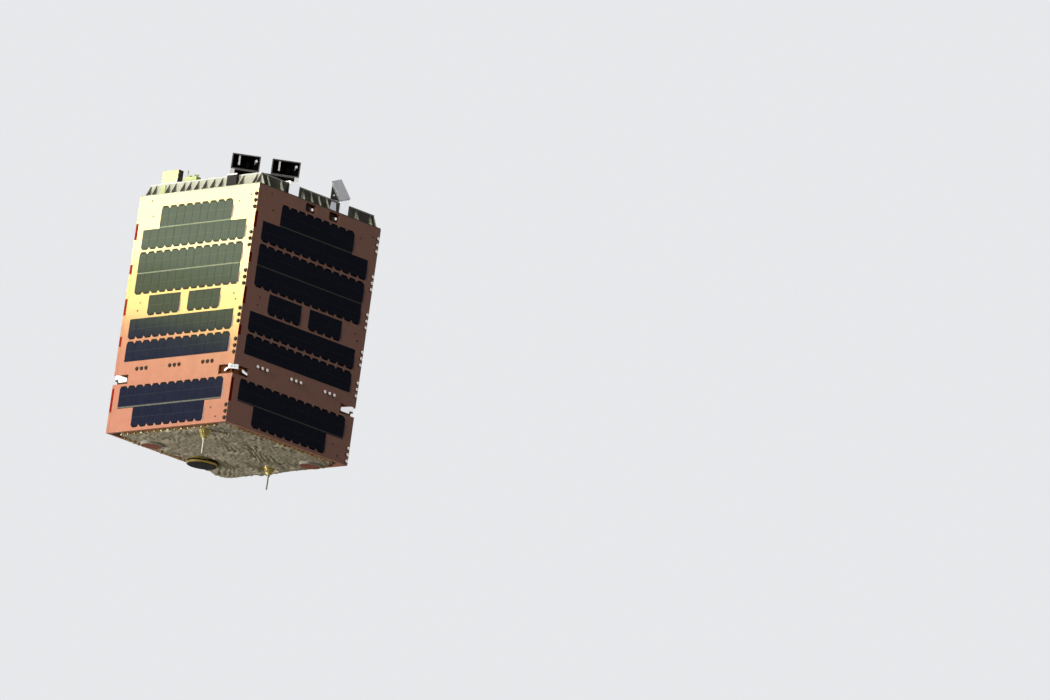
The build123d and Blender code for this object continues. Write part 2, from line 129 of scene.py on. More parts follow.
def finish_of(name, dark, light, scale, rough, relief, metal=0.0, grain=(1, 1, 1), **sockets):
    """A surface with mottled colour, uneven gloss and fine relief, all from one stretched noise."""
    surface = bpy.data.materials.new(name)
    surface.use_nodes = True
    nodes, link = surface.node_tree.nodes, surface.node_tree.links.new
    shader = nodes["Principled BSDF"]
    shader.inputs["Metallic"].default_value = metal
    for socket, value in sockets.items():
        shader.inputs[socket.replace("_", " ")].default_value = value
    place = nodes.new("ShaderNodeTexCoord")
    stretch = nodes.new("ShaderNodeMapping")
    stretch.inputs["Scale"].default_value = grain
    mottle = nodes.new("ShaderNodeTexNoise")
    mottle.inputs["Scale"].default_value = scale
    mottle.inputs["Detail"].default_value = 6.0
    mottle.inputs["Roughness"].default_value = 0.6
    tone = nodes.new("ShaderNodeMix")
    tone.data_type = "RGBA"
    tone.inputs["A"].default_value = (*dark, 1)
    tone.inputs["B"].default_value = (*light, 1)
    spread = nodes.new("ShaderNodeMapRange")
    spread.inputs["From Min"].default_value = 0.3
    spread.inputs["From Max"].default_value = 0.7
    gloss = nodes.new("ShaderNodeMapRange")
    gloss.inputs["To Min"].default_value = rough * 0.85
    gloss.inputs["To Max"].default_value = min(rough * 1.15, 1.0)
    bump = nodes.new("ShaderNodeBump")
    bump.inputs["Strength"].default_value = relief
    bump.inputs["Distance"].default_value = 0.001
    link(place.outputs["Object"], stretch.inputs["Vector"])
    link(stretch.outputs["Vector"], mottle.inputs["Vector"])
    link(mottle.outputs["Fac"], spread.inputs["Value"])
    link(mottle.outputs["Fac"], gloss.inputs["Value"])
    link(mottle.outputs["Fac"], bump.inputs["Height"])
    link(spread.outputs["Result"], tone.inputs["Factor"])
    link(tone.outputs["Result"], shader.inputs["Base Color"])
    link(gloss.outputs["Result"], shader.inputs["Roughness"])
    link(bump.outputs["Normal"], shader.inputs["Normal"])
    return surface


def dress(node, surface):
    """Gives a CAD piece its finish."""
    cad[node].data.materials.clear()
    cad[node].data.materials.append(surface)


def add_piece(name, shape, surfaces, slot, *stands_for):
    """Turns a bmesh into a piece of the satellite, with one or more finishes."""
    bmesh.ops.recalc_face_normals(shape, faces=shape.faces)
    mesh = bpy.data.meshes.new(name)
    shape.to_mesh(mesh)
    shape.free()
    for surface in surfaces:
        mesh.materials.append(surface)
    thing = bpy.data.objects.new(name, mesh)
    scene.collection.objects.link(thing)
    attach(thing, "root")
    if stands_for:
        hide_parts(*stands_for)
    return thing


def turned(shape, profile, place, around=16, finish=0):
    """Revolves points (radius, height) about the upright axis of a placing matrix."""
    rings = []
    for radius, height in profile:
        if radius == 0:
            rings.append([shape.verts.new(place @ Vector((0, 0, height)))])
            continue
        angles = [2 * math.pi * i / around for i in range(around)]
        rings.append([
            shape.verts.new(place @ Vector((radius * math.cos(a), radius * math.sin(a), height)))
            for a in angles
        ])
    for low, high in zip(rings, rings[1:]):
        for i in range(around):
            j = (i + 1) % around
            corners = [low[i % len(low)], low[j % len(low)], high[j % len(high)], high[i % len(high)]]
            shape.faces.new(dict.fromkeys(corners)).material_index = finish


def facing_out(x, z):
    """Places something on the front panel with its axis pointing out."""
    return Matrix.Translation((x, -half, z)) @ Matrix.Rotation(math.radians(90), 4, "X")


def screw(shape, place, size=1.0, head_finish=0, washer_finish=1):
    """Cap screw with its washer. The outlines are lists of radius and height."""
    head = [(0.0062, 0.0008), (0.0062, 0.0038), (0.0054, 0.0045), (0.0022, 0.0045)]
    socket = [(0.0022, 0.0045), (0.0019, 0.0026), (0, 0.0026)]
    washer = [(0, 0), (0.0078, 0), (0.0076, 0.0008), (0.0062, 0.0008)]
    for profile, finish in ((head, head_finish), (socket, head_finish), (washer, washer_finish)):
        turned(shape, [(r * size, h * size) for r, h in profile], place, finish=finish)


copper_skin = finish_of("copper_skin", (0.48, 0.205, 0.128), (0.55, 0.235, 0.150), 26, 0.18, 0.05,
                        Specular_IOR_Level=0.25)
pale_steel = finish_of("pale_steel", (0.70, 0.62, 0.57), (0.86, 0.78, 0.73), 300, 0.35, 0.2, metal=1.0)
# Near-black heads for front and back: a painted dark reflection on the same steel
dark_reflection_heads = finish_of("dark_reflection_heads", (0.055, 0.045, 0.036), (0.110, 0.090, 0.072), 300, 0.5, 0.2,
                        Specular_IOR_Level=0.003)
# Near-black washers: painted shadow round each screw head
shadow_washer = finish_of("shadow_washer", (0.015, 0.013, 0.012), (0.040, 0.034, 0.030), 200, 0.5, 0.2,
                        Specular_IOR_Level=0.003)
insert_brown = finish_of("insert_brown", (0.12, 0.065, 0.045), (0.20, 0.105, 0.070), 200, 0.5, 0.2,
                         Specular_IOR_Level=0.01)
screw_pitch = 0.024
edge_inset = 0.009
edge_groups = [0.062, 0.205, 0.348, 0.488, 0.603, 0.847]
shelf_groups = [-0.171, 0.0, 0.171]
shelf_line = 0.232
# Small flush inserts in the skin: place across the panel, drop from its top
inserts = [(-0.244, 0.020), (-0.228, 0.079), (0.276, 0.039), (0.217, 0.059), (0.257, 0.406),
           (0.270, 0.428), (-0.229, 0.404), (-0.237, 0.433), (0.222, 0.828), (0.252, 0.863)]
insert_size = 0.42

for name in sides:
    dress(f"panel_{name}", copper_skin)
    screws = bmesh.new()
    for drop in edge_groups:
        for step in (-1, 0, 1):
            spot = facing_out(half - edge_inset, panel_top - drop + step * screw_pitch)
            screw(screws, turns[name] @ spot)
    for x in shelf_groups:
        for step in (-1, 0, 1):
            spot = facing_out(x + step * screw_pitch, panel_bottom + shelf_line)
            screw(screws, turns[name] @ spot)
    for x, drop in inserts:
        spot = facing_out(x, panel_top - drop)
        screw(screws, turns[name] @ spot, insert_size, head_finish=2, washer_finish=2)
    # Front and back get the painted dark reflection, the two sides bare steel
    head_metal = dark_reflection_heads if name in ("front", "back") else pale_steel
    add_piece(f"panel_screws_{name}", screws, [head_metal, shadow_washer, insert_brown], "bare_metal")


# Red closing strips: resin-bonded edge strips that close the board's core where inserts sit.
# They are let into the exposed end of each panel, flush with it. Between them the copper-coloured
# skin is lapped over the end.
strip_red = finish_of("strip_red", (0.23, 0.016, 0.007), (0.35, 0.027, 0.012), 60, 0.55, 0.4,
                      Specular_IOR_Level=0.003)
board_thick = 0.012
lap_thick = 0.0003
# Where the lap stops for a strip or for the corner opening: drop of the middle, length
lap_gaps = [(0.131, 0.062), (0.273, 0.035), (0.415, 0.062), (0.544, 0.038), (0.688, 0.034), (0.764, 0.088)]


def prism(shape, outline, near, far, place, finish=0):
    """Extrudes a flat outline between two heights along the axis of a placing matrix."""
    low = [shape.verts.new(place @ Vector((x, z, near))) for x, z in outline]
    high = [shape.verts.new(place @ Vector((x, z, far))) for x, z in outline]
    faces = [shape.faces.new(low[::-1]), shape.faces.new(high)]
    for i in range(len(outline)):
        j = (i + 1) % len(outline)
        faces.append(shape.faces.new((low[i], low[j], high[j], high[i])))
    for face in faces:
        face.material_index = finish
    return faces


def block(shape, low, high, place=Matrix(), finish=0):
    """A box between two corners."""
    outline = [(low[0], low[1]), (high[0], low[1]), (high[0], high[1]), (low[0], high[1])]
    prism(shape, outline, low[2], high[2], place, finish)


for name in sides:
    dress(f"end_strips_{name}", strip_red)
    lap = bmesh.new()
    lap_top = panel_top
    for drop, length in lap_gaps + [(panel_top - panel_bottom, 0)]:
        lap_foot = panel_top - drop + length / 2
        high_corner = (half + lap_thick, -half + board_thick, lap_top)
        block(lap, (half, -half, lap_foot), high_corner, turns[name])
        lap_top = lap_foot - length
    add_piece(f"panel_end_{name}", lap, [copper_skin], "panel_skin")


# Solar cells: wafers with two clipped corners under a coated cover glass, welded side by side in
# strings on a dark film bonded to the panel. Near-black tabs sit at the clipped ends, grey busbars
# join two strings at their flat ends, and each string ends in solder pads.
cell_width, cell_height = 0.040, 0.076
clip_large, clip_small, clip_deep = 0.011, 0.005, 0.010
pitch_x, pitch_z = 0.0413, 0.0837
first_drop = 0.0445
film_thick, glass_thick = 0.0003, 0.0008
strings = [
    (0, 2, 10, "top"), (1, 0, 12, "bottom"), (2, 0, 12, "top"), (3, 0, 12, "bottom"),
    (4, 2, 5, "bottom"), (4, 7, 10, "bottom"), (5, 0, 12, "bottom"), (6, 0, 12, "top"),
    (8, 0, 12, "top"), (9, 2, 10, "bottom"),
]
middle_column = 6
busbar_rows = [0, 2, 8]
busbar_width = 0.0052
trim_top = 0.0006
tab_left, tab_right, tab_low, tab_high, tab_thick = -0.012, 0.007, 0.0055, 0.0005, 0.0003
pad_away, pad_half, pad_low, pad_high = 0.0042, 0.0028, 0.004, 0.026


def cell_glass():
    """Dark wafers under glass, with fine silver fingers and two busbars."""
    surface = finish_of("cell_glass", (0.0105, 0.0125, 0.029), (0.015, 0.0175, 0.040), 40, 0.18, 0.03,
                        Specular_IOR_Level=0.026)
    nodes, link = surface.node_tree.nodes, surface.node_tree.links.new
    shader = nodes["Principled BSDF"]
    tint = shader.inputs["Base Color"].links[0].from_socket
    place = nodes.new("ShaderNodeUVMap")
    axes = nodes.new("ShaderNodeSeparateXYZ")
    link(place.outputs["UV"], axes.inputs["Vector"])
    lines = []
    for axis, count, share in (("Y", 2.0, 0.03), ("X", 3.0, 0.035)):
        times = nodes.new("ShaderNodeMath")
        times.operation = "MULTIPLY"
        times.inputs[1].default_value = count
        ramp = nodes.new("ShaderNodeMath")
        ramp.operation = "PINGPONG"
        ramp.inputs[1].default_value = 0.5
        thin = nodes.new("ShaderNodeMath")
        thin.operation = "LESS_THAN"
        thin.inputs[1].default_value = share
        link(axes.outputs[axis], times.inputs[0])
        link(times.outputs[0], ramp.inputs[0])
        link(ramp.outputs[0], thin.inputs[0])
        lines.append(thin)
    both = nodes.new("ShaderNodeMath")
    both.operation = "MAXIMUM"
    link(lines[0].outputs[0], both.inputs[0])
    link(lines[1].outputs[0], both.inputs[1])
    silver = nodes.new("ShaderNodeMix")
    silver.data_type = "RGBA"
    silver.inputs["B"].default_value = (0.028, 0.032, 0.042, 1)
    link(both.outputs[0], silver.inputs["Factor"])
    link(tint, silver.inputs["A"])
    link(silver.outputs["Result"], shader.inputs["Base Color"])
    return surface


def clipped(points, clipped_end, middle=0.0):
    """Turns an outline half round where the clipped end is at the bottom."""
    return points if clipped_end == "top" else [(2 * middle - x, -z) for x, z in points]


glass = cell_glass()
cell_film = finish_of("cell_film", (0.030, 0.032, 0.038), (0.045, 0.046, 0.052), 60, 0.5, 0.1,
                      Specular_IOR_Level=0.01)
near_black_tab = finish_of("near_black_tab", (0.006, 0.006, 0.005), (0.016, 0.014, 0.010), 90, 0.5, 0.2,
                     Specular_IOR_Level=0.005)
busbar_grey = finish_of("busbar_grey", (0.095, 0.096, 0.100), (0.135, 0.136, 0.140), 120, 0.4, 0.2,
                        Specular_IOR_Level=0.045)
solder_pad = finish_of("solder_pad", (0.26, 0.17, 0.17), (0.38, 0.27, 0.27), 90, 0.5, 0.3,
                       Specular_IOR_Level=0.02)

w, h = cell_width / 2, cell_height / 2
cell = [(-w, -h), (w, -h), (w, h - clip_deep), (w - clip_large, h), (-w + clip_small, h), (-w, h - clip_deep)]
tab = [(tab_left, h - tab_low), (tab_right, h - tab_low), (tab_right, h - tab_high), (tab_left, h - tab_high)]
for name in sides:
    wafers = bmesh.new()
    uv = wafers.loops.layers.uv.new("cell")
    tabs = bmesh.new()
    for row, first, last, clipped_end in strings:
        z = panel_top - first_drop - h - row * pitch_z
        run = (last - first) * pitch_x
        film = [(-w, -h), (run + w, -h), (run + w, h - clip_deep), (run + w - clip_large, h)]
        for number in range(last - first, 0, -1):
            x = number * pitch_x
            film += [(x - w + clip_small, h), (x - pitch_x / 2, h - clip_deep)]
            film += [(x - pitch_x + w - clip_large, h)]
        film += [(-w + clip_small, h), (-w, h - clip_deep)]
        first_x, last_x = (first - middle_column) * pitch_x, (last - middle_column) * pitch_x
        spot = turns[name] @ facing_out(first_x, z)
        prism(wafers, clipped(film, clipped_end, run / 2), 0, film_thick, spot, 1)
        for column in range(first, last + 1):
            spot = turns[name] @ facing_out((column - middle_column) * pitch_x, z)
            back_to_cell = spot.inverted()
            for face in prism(wafers, clipped(cell, clipped_end), film_thick, glass_thick, spot):
                for loop in face.loops:
                    at = back_to_cell @ loop.vert.co
                    loop[uv].uv = (column + 0.5 + at.x / cell_width, row + 0.5 + at.y / cell_height)
            prism(tabs, clipped(tab, clipped_end), glass_thick, glass_thick + tab_thick, spot, 1)
        if row in busbar_rows:
            gap = pitch_z - cell_height
            spot = turns[name] @ facing_out(first_x, z - pitch_z / 2)
            block(tabs, (-w, -gap / 2, 0), (run + w, gap / 2, film_thick), spot, 1)
            block(tabs, (-w, -busbar_width / 2, film_thick), (run + w, busbar_width / 2, trim_top), spot)
        spot = turns[name] @ facing_out(last_x + w + pad_away, z)
        block(tabs, (-pad_half, -h + pad_low, 0), (pad_half, h - pad_high, trim_top), spot, 2)
    add_piece(f"cell_strings_{name}", wafers, [glass, cell_film], "solar_cell", f"cells_{name}")
    add_piece(f"string_tabs_{name}", tabs, [busbar_grey, near_black_tab, solder_pad], "bare_metal")


# Corner posts: square aluminium tubes that carry the panels, the shelf and the tray. They are
# drawn tubes in clear chromate, and hide behind the panels.
drawn_metal = finish_of("drawn_metal", (0.50, 0.50, 0.49), (0.68, 0.68, 0.66), 60, 0.36, 0.15,
                        metal=1.0, grain=(6, 6, 0.4))
corners = ["front_right", "back_right", "back_left", "front_left"]
for name in corners:
    dress(f"corner_post_{name}", drawn_metal)


# Corner fittings: machined blocks between the posts, with a nose across the corner for two lifting
# bolts and a wing along each panel. The outside is milled bright. What lies inside the panels'
# openings is toned down to a dark orange-brown: partly the copper colour seen there, partly painted
# shade of the recess.
def toned(surface, share, limit, axes_used, source="Object", beyond=True):
    """Takes a finish's colour down to a share where a coordinate's size is beyond, or within, a limit."""
    nodes, link = surface.node_tree.nodes, surface.node_tree.links.new
    shader = nodes["Principled BSDF"]
    paint = shader.inputs["Base Color"].links[0].from_socket
    place = nodes.new("ShaderNodeTexCoord")
    axes = nodes.new("ShaderNodeSeparateXYZ")
    link(place.outputs[source], axes.inputs["Vector"])
    reach = None
    for axis in axes_used:
        size = nodes.new("ShaderNodeMath")
        size.operation = "ABSOLUTE"
        link(axes.outputs[axis], size.inputs[0])
        if reach is None:
            reach = size
            continue
        larger = nodes.new("ShaderNodeMath")
        larger.operation = "MAXIMUM"
        link(reach.outputs[0], larger.inputs[0])
        link(size.outputs[0], larger.inputs[1])
        reach = larger
    chosen = nodes.new("ShaderNodeMath")
    chosen.operation = "GREATER_THAN" if beyond else "LESS_THAN"
    chosen.inputs[1].default_value = limit
    tone = nodes.new("ShaderNodeMix")
    tone.data_type = "RGBA"
    tone.blend_type = "MULTIPLY"
    tone.inputs["B"].default_value = (*share, 1)
    link(reach.outputs[0], chosen.inputs[0])
    link(chosen.outputs[0], tone.inputs["Factor"])
    link(paint, tone.inputs["A"])
    link(tone.outputs["Result"], shader.inputs["Base Color"])


recess_shade_limit = 0.3035
milled = finish_of("milled", (0.90, 0.90, 0.90), (0.97, 0.97, 0.97), 45, 0.36, 0.12, metal=1.0)
# Painted shade of the recess over a copper tint, on what lies inside the openings
toned(milled, (0.105, 0.032, 0.008), recess_shade_limit, "XY", beyond=False)
for name in corners:
    dress(f"corner_fitting_{name}", milled)


# Shelf and avionics stack: a honeycomb shelf bolted to the posts, with the closed grey housing of
# the electronics and battery on it.
grey_anodised = finish_of("grey_anodised", (0.28, 0.29, 0.30), (0.40, 0.41, 0.42), 50, 0.45, 0.2, metal=0.8)
dress("shelf", drawn_metal)
dress("avionics_stack", grey_anodised)


# Top tray: one aluminium machining in pale paint, an upright wall with three-cornered ribs on a
# flange that is screwed down on the panels' top edges. The faces that look to either side are
# darkened to grey as painted shade, and a thin pale bead runs round the wall's top.
tray_paint = finish_of("tray_paint", (0.48, 0.50, 0.39), (0.58, 0.60, 0.48), 38, 0.45, 0.12,
                       Specular_IOR_Level=0.03)
# A face counts as looking sideways when its normal's share along X is over this
shaded_sideways = 0.96
# Painted shade: the faces that look to either side are darkened
toned(tray_paint, (0.44, 0.41, 0.46), shaded_sideways, "X", "Normal")
dress("top_tray", tray_paint)
flange_inset = 0.014
flange_screw_size = 0.6
flange_top = panel_top + 0.004
flange_places = [-0.270, -0.222, -0.132, -0.057, -0.016, 0.026, 0.067, 0.100, 0.155, 0.230, 0.275]
flange_screws = bmesh.new()
for name in sides:
    for x in flange_places:
        place = turns[name] @ Matrix.Translation((x, -half + flange_inset, flange_top))
        screw(flange_screws, place, flange_screw_size)
add_piece("flange_screws", flange_screws, [pale_steel, shadow_washer], "bare_metal")

tray_half = 0.287
deck_top = -0.025
bead_height, bead_proud = 0.0050, 0.0012
bead_reach = tray_half + bead_proud
bead = bmesh.new()
for name in sides:
    low_corner = (-bead_reach, -bead_reach, deck_top - bead_height)
    block(bead, low_corner, (tray_half - bead_proud, -tray_half, deck_top), turns[name])
pale_paint = finish_of("pale_paint", (0.60, 0.61, 0.54), (0.72, 0.73, 0.66), 38, 0.45, 0.12,
                       Specular_IOR_Level=0.2)
add_piece("tray_bead", bead, [pale_paint], "tray_metal")


# Separation ring: an aluminium channel ring turned on a lathe, with 24 holes for the launcher's
# ring. It is bolted to the tray's plate through its lower flange.
turned_metal = finish_of("turned_metal", (0.55, 0.55, 0.54), (0.74, 0.74, 0.72), 30, 0.30, 0.12,
                         metal=1.0, grain=(1, 1, 14))
dress("separation_ring", turned_metal)
ring_screw_count, ring_screw_circle, ring_screw_size = 24, 0.1935, 0.8
ring_flange_top = -0.020
ring_screws = bmesh.new()
for i in range(ring_screw_count):
    angle = 2 * math.pi * (i + 0.5) / ring_screw_count
    x, y = ring_screw_circle * math.cos(angle), ring_screw_circle * math.sin(angle)
    screw(ring_screws, Matrix.Translation((x, y, ring_flange_top)), ring_screw_size)
add_piece("ring_screws", ring_screws, [pale_steel, shadow_washer], "bare_metal")


# Star cameras: two black hoods on a channel beam across the corner, with a white block in each
# end of the beam. The beam's outer face is dark grey, painted shade of the channel's inside. A leg
# painted dark grey, a painted dark reflection, carries it at the front and a bright one at the right.
# Each hood is a folded sheet box with a bare rim round its mouth.
black_paint = finish_of("black_paint", (0.003, 0.003, 0.004), (0.007, 0.007, 0.008), 60, 0.7, 0.1,
                        Specular_IOR_Level=0.03)
# Dark grey: painted shade on the beam, painted dark reflection on the front leg, plain dark paint elsewhere
dark_paint_and_shade = finish_of("dark_paint_and_shade", (0.038, 0.037, 0.034), (0.054, 0.052, 0.048), 50, 0.5, 0.2,
                       Specular_IOR_Level=0.003)
bright_satin = finish_of("bright_satin", (0.94, 0.94, 0.94), (1.0, 1.0, 1.0), 30, 0.34, 0.08, metal=1.0)
edge_grey = finish_of("edge_grey", (0.110, 0.106, 0.106), (0.170, 0.163, 0.163), 80, 0.5, 0.2,
                      Specular_IOR_Level=0.1)
white_paint = finish_of("white_paint", (0.76, 0.75, 0.73), (0.88, 0.87, 0.85), 45, 0.42, 0.15,
                        Specular_IOR_Level=0.3)
white_fin = finish_of("white_fin", (0.86, 0.86, 0.86), (0.93, 0.93, 0.93), 60, 0.5, 0.1)
for node, surface in (("star_beam", dark_paint_and_shade), ("star_leg_front", dark_paint_and_shade),
                      ("star_leg_right", bright_satin), ("star_hood_a", black_paint),
                      ("star_hood_b", black_paint), ("star_cameras", black_paint),
                      ("star_fittings", white_fin)):
    dress(node, surface)

beam_start = Vector((0.123, -0.300, 0.002))
beam_along = Vector((0.177, 0.194, 0))
beam_length = beam_along.length
beam_rise, beam_sheet = 0.027, 0.004
beam_gap, beam_block = 0.008, 0.014
along = beam_along.normalized()
inward = Vector((-along.y, along.x, 0))
on_beam = Matrix((along, inward, Vector((0, 0, 1)))).transposed().to_4x4()
on_beam = Matrix.Translation(beam_start) @ on_beam
skin = 0.0004
cap_foot, cap_depth = -beam_rise + 0.0005, 0.020
caps = bmesh.new()
for left in (beam_gap, beam_length - beam_gap - beam_block):
    block(caps, (left - skin, -skin, cap_foot), (left + beam_block + skin, cap_depth, skin), on_beam)
add_piece("beam_end_caps", caps, [white_fin], "white_metal")

# Light edges of the sheet metal: the beam's two flanges, the front leg's folded top and the
# mouths of the hoods
edge_margin = 0.0006
beam_end = beam_gap + beam_block + 0.001
edges = bmesh.new()
for z in (-beam_sheet, -beam_rise):
    high_corner = (beam_length - beam_end, 0, z + beam_sheet - edge_margin)
    block(edges, (beam_end, -skin, z + edge_margin), high_corner, on_beam)
hood_width, hood_height, hood_rim, hood_spacing = 0.103, 0.058, 0.0040, 0.145
for way in (-0.5, 0.5):
    middle = beam_length / 2 + way * hood_spacing
    low_x, high_x = middle - hood_width / 2, middle + hood_width / 2
    for x in (low_x, high_x - hood_rim):
        block(edges, (x, -skin, 0), (x + hood_rim, 0, hood_height), on_beam)
    for z in (0, hood_height - hood_rim):
        block(edges, (low_x + hood_rim, -skin, z), (high_x - hood_rim, 0, z + hood_rim), on_beam)
add_piece("sheet_edges", edges, [edge_grey], "dark_metal")
leg_face, leg_width, leg_top, fold_height = 0.300, 0.050, -0.021, 0.006
fold_low = (beam_start.x, -leg_face - skin, leg_top - fold_height)
fold = bmesh.new()
block(fold, fold_low, (beam_start.x + leg_width, -leg_face, leg_top))
add_piece("leg_fold", fold, [white_paint], "white_metal")


# Box antenna: a flat cream cover, dark on its two sideways faces, on a white foot plate at the front
# edge, clipped down at its corners. The connector block beside it is moulded in a greener resin.
cream_cover = finish_of("cream_cover", (0.70, 0.68, 0.38), (0.82, 0.81, 0.48), 30, 0.5, 0.1,
                        Specular_IOR_Level=0.02)
green_resin = finish_of("green_resin", (0.50, 0.58, 0.26), (0.64, 0.72, 0.36), 60, 0.5, 0.2,
                        Specular_IOR_Level=0.02)
dark_sides_limit = 0.9
toned(cream_cover, (0.13, 0.13, 0.15), dark_sides_limit, "X", "Normal")
dress("box_antenna", cream_cover)
dress("box_antenna_foot", white_paint)
dress("connector_block", green_resin)
antenna_low, antenna_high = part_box("box_antenna")
clamp_width, clamp_height, clamp_proud = 0.006, 0.010, 0.0015
clamps = bmesh.new()
for x in (antenna_low.x, antenna_high.x - clamp_width):
    high_corner = (x + clamp_width, antenna_low.y, antenna_low.z + clamp_height)
    block(clamps, (x, antenna_low.y - clamp_proud, antenna_low.z), high_corner)
add_piece("antenna_clamps", clamps, [white_paint], "white_metal")

# A strip of the same resin runs down the tray's front wall, wider at its foot
wall_strip_head = [(-0.226, -0.2895), (-0.208, -0.2895), (-0.208, -tray_half), (-0.226, -tray_half)]
wall_strip_foot = [(-0.227, -0.2975), (-0.199, -0.2975), (-0.199, -tray_half), (-0.227, -tray_half)]
wall_strip_top, wall_strip_bottom = deck_top - bead_height, flange_top + 0.003
wall_strip = bmesh.new()
head = [wall_strip.verts.new((x, y, wall_strip_top)) for x, y in wall_strip_head]
foot = [wall_strip.verts.new((x, y, wall_strip_bottom)) for x, y in wall_strip_foot]
wall_strip.faces.new(head)
wall_strip.faces.new(foot[::-1])
for i in range(4):
    wall_strip.faces.new((foot[i - 1], foot[i], head[i], head[i - 1]))
add_piece("resin_wall_strip", wall_strip, [green_resin], "antenna_cover")


# Tilted antenna: a flat grey patch antenna on a folded bright bracket at the right edge. Its lug on
# the tray is duller, and the bracket's web has a dark cover held by one screw.
grey_cover = finish_of("grey_cover", (0.55, 0.55, 0.57), (0.65, 0.65, 0.67), 40, 0.5, 0.08, metal=0.5)
tilt_metal = finish_of("tilt_metal", (0.92, 0.92, 0.92), (1.0, 1.0, 1.0), 30, 0.34, 0.08, metal=1.0)
lug_end = 0.0985
toned(tilt_metal, (0.50, 0.50, 0.52), lug_end, "Y", beyond=False)
dress("tilt_bracket", tilt_metal)
dress("tilt_antenna", grey_cover)
fold_x, fold_y, fold_z = 0.300, 0.099, -0.028
web_reach, web_rise, web_wall = 0.0362, 0.0296, 0.0151
cover_inset, cover_near, cover_far = 0.0012, 0.0002, 0.0010
web_in = Vector((-1, -1, 0)).normalized()
web_out = Vector((1, -1, 0)).normalized()
on_web = Matrix((web_in, Vector((0, 0, 1)), web_out)).transposed().to_4x4()
on_web = Matrix.Translation((fold_x, fold_y, 0)) @ on_web
cover_edge = web_reach - cover_inset
cover_outline = [(0.002, fold_z + cover_inset), (web_wall, deck_top + cover_inset),
                 (cover_edge, deck_top + cover_inset), (cover_edge, web_rise - 0.004)]
cover_screw = [(0.0034, cover_far), (0.0034, 0.0022), (0, 0.0024)]
screw_spot = on_web @ Matrix.Translation((0.024, -0.008, 0))
cover = bmesh.new()
prism(cover, cover_outline, cover_near, cover_far, on_web)
turned(cover, cover_screw, screw_spot, around=12, finish=1)
add_piece("web_cover", cover, [dark_paint_and_shade, white_fin], "dark_metal")


# Sun sensors: small housings behind the openings in the right panel, near black behind their front,
# each with a bright nozzle that points out.
housing_front = 0.2985
nozzle_metal = finish_of("nozzle_metal", (0.88, 0.88, 0.86), (0.97, 0.97, 0.95), 60, 0.4, 0.1, metal=1.0)
toned(nozzle_metal, (0.020, 0.010, 0.006), housing_front, "X", beyond=False)
dress("sun_sensors", nozzle_metal)


# Bottom deck and its clips: a plate between the panels, held by folded clips in the gap between
# the panels and the blanket.
dress("bottom_deck", dark_paint_and_shade)
clip_metal = finish_of("clip_metal", (0.34, 0.27, 0.17), (0.52, 0.44, 0.30), 60, 0.45, 0.2, metal=0.3)
dress("deck_clips", clip_metal)


# Foil blanket: layers of coated film over the deck, crinkled by hand and tucked in round the feet
# of the antennas. Its creases run in bent ridges, and its edge is taped with folded gold film.
foil = finish_of("foil", (0.40, 0.345, 0.235), (0.60, 0.535, 0.385), 110, 0.5, 0.5, metal=0.25,
                 Specular_IOR_Level=0.3)
blanket_low, blanket_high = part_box("foil_blanket")
blanket_half = blanket_high.x
corner_radius = 0.045
edge_roll, roll_start = 0.006, 0.2
crease_height, crease_middle = 0.0100, 0.45
# Noises that place the long ridges, bend them, fade them and add the short ones
ridge_scale, ridge_count = 7.0, 6.5
bend_scale, bend_part = 24.0, 0.9
fade_scale, short_scale = 11.0, 48.0
# The sag along the back: how far from the middle it starts on three sides, and how soon it is full
slack = 0.016
front_start, front_ramp = 0.02, 0.20
right_start, right_ramp = 0.32, 0.36
left_start, left_ramp = 0.312, 0.03
steps = 170
foot_room, foot_ramp = 0.004, 0.014
feet = [((0.141, -0.246), 0.021), ((-0.007, 0.228), 0.021), ((-0.206, 0.081), 0.048),
        ((-0.234, -0.151), 0.040), ((0.185, 0.244), 0.040)]


def crease(x, y):
    """Height of the bent ridges that crumpling leaves, from 0 to 1. They run along the level lines
    of a slow noise, so that they bend round each other."""
    spot = Vector((x, y, 0.4))
    level = noise.noise(spot * ridge_scale) * ridge_count + noise.noise(spot * bend_scale) * bend_part
    fade = 0.6 + 0.8 * noise.noise(spot * fade_scale)
    long = 1 - abs((level % 1.0) * 2 - 1)
    short = 1 - abs(noise.noise(spot * short_scale)) * 2.2
    return max(0.0, 0.7 * long * fade + 0.3 * short)


def ramped(distance, length):
    """Rises evenly from 0 to 1 while a distance grows from nothing to a length."""
    return min(1.0, max(0.0, distance / length))


def tucked(x, y):
    """1 on the open blanket, 0 beside an antenna's foot."""
    away = min(math.hypot(x - foot_x, y - foot_y) - radius for (foot_x, foot_y), radius in feet)
    return ramped(away - foot_room, foot_ramp)


def sag(x, y):
    """How far the blanket hangs down: along the back, and less towards the right."""
    across = ramped(right_start - x, right_ramp) * ramped(x + left_start, left_ramp)
    return slack * ramped(y - front_start, front_ramp) * across


blanket = bmesh.new()
rows = []
for i in range(steps + 1):
    row = []
    for j in range(steps + 1):
        x, y = (blanket_half * (2 * k / steps - 1) for k in (i, j))
        over_x, over_y = (max(0.0, abs(v) - blanket_half + corner_radius) for v in (x, y))
        edge = max(over_x, over_y) / corner_radius
        if over_x and over_y:
            shrink = max(over_x, over_y) / math.hypot(over_x, over_y)
            x = math.copysign(blanket_half - corner_radius + over_x * shrink, x)
            y = math.copysign(blanket_half - corner_radius + over_y * shrink, y)
        z = blanket_low.z + edge_roll * ramped(edge - roll_start, 1 - roll_start) ** 3
        z += (crease_height * (crease_middle - crease(x, y)) - sag(x, y)) * tucked(x, y)
        row.append(blanket.verts.new((x, y, z)))
    rows.append(row)
for i in range(steps):
    for j in range(steps):
        blanket.faces.new((rows[i][j], rows[i + 1][j], rows[i + 1][j + 1], rows[i][j + 1]))
border = [rows[i][0] for i in range(steps)] + [rows[steps][j] for j in range(steps)]
